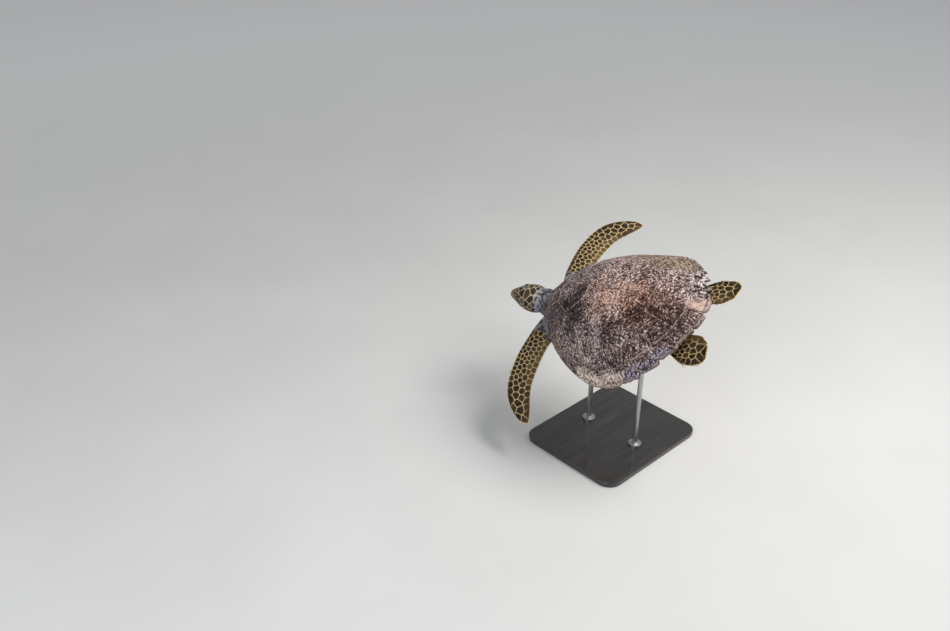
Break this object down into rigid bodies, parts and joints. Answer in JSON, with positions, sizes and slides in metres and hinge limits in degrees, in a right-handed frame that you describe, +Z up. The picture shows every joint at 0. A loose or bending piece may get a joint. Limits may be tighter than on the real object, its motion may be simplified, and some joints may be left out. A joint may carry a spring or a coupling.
{
  "type": "hawksbill sea turtle display model",
  "caption": "Still life-size hawksbill sea turtle, swimming with raised and lowered front flippers, nose down and banked, held by rods on a flat display stand.",
  "frame": {"origin": "middle of the underside of the stand's base, on the floor", "axes": "+Z up; -Y the way the turtle swims, +X its left"},
  "size_m": [0.766, 0.9249, 0.7257],
  "materials": {
    "shell_horn": "weathered horn, mottled brown and pinkish grey with an algae film",
    "plastron_horn": "smooth pale yellow horn",
    "scaled_skin": "dark brown polygonal scales parted by pale yellow skin",
    "beak_horn": "streaked amber and brown horn",
    "eye": "wet and dark",
    "claw_horn": "amber horn",
    "stand_board": "satin black lacquer",
    "stand_steel": "brushed"
  },
  "bodies": {
    "root": {"nuchal": "shell_horn", "marginal_1_left": "shell_horn", "marginal_1_right": "shell_horn", "marginal_2_left": "shell_horn", "marginal_2_right": "shell_horn", "marginal_3_left": "shell_horn", "marginal_3_right": "shell_horn", "marginal_4_left": "shell_horn", "marginal_4_right": "shell_horn", "marginal_5_left": "shell_horn", "marginal_5_right": "shell_horn", "marginal_6_left": "shell_horn", "marginal_6_right": "shell_horn", "marginal_7_left": "shell_horn", "marginal_7_right": "shell_horn", "marginal_8_left": "shell_horn", "marginal_8_right": "shell_horn", "marginal_9_left": "shell_horn", "marginal_9_right": "shell_horn", "marginal_10_left": "shell_horn", "marginal_10_right": "shell_horn", "marginal_11_left": "shell_horn", "marginal_11_right": "shell_horn", "supracaudal_left": "shell_horn", "supracaudal_right": "shell_horn", "vertebral_1": "shell_horn", "vertebral_2": "shell_horn", "vertebral_3": "shell_horn", "vertebral_4": "shell_horn", "vertebral_5": "shell_horn", "costal_1_left": "shell_horn", "costal_1_right": "shell_horn", "costal_2_left": "shell_horn", "costal_2_right": "shell_horn", "costal_3_left": "shell_horn", "costal_3_right": "shell_horn", "costal_4_left": "shell_horn", "costal_4_right": "shell_horn", "plastron": "plastron_horn", "trunk": "scaled_skin", "neck": "scaled_skin", "head": "scaled_skin", "tail": "scaled_skin", "flipper_front_left": "scaled_skin", "flipper_front_right": "scaled_skin", "flipper_hind_left": "scaled_skin", "flipper_hind_right": "scaled_skin", "beak_upper": "beak_horn", "beak_lower": "beak_horn", "eye_left": "eye", "eye_right": "eye", "claw_front_left": "claw_horn", "claw_front_right": "claw_horn", "claw_hind_left": "claw_horn", "claw_hind_right": "claw_horn", "stand_base": "stand_board", "stand_rod_front": "stand_steel", "stand_rod_rear": "stand_steel"}
  },
  "joints": []
}
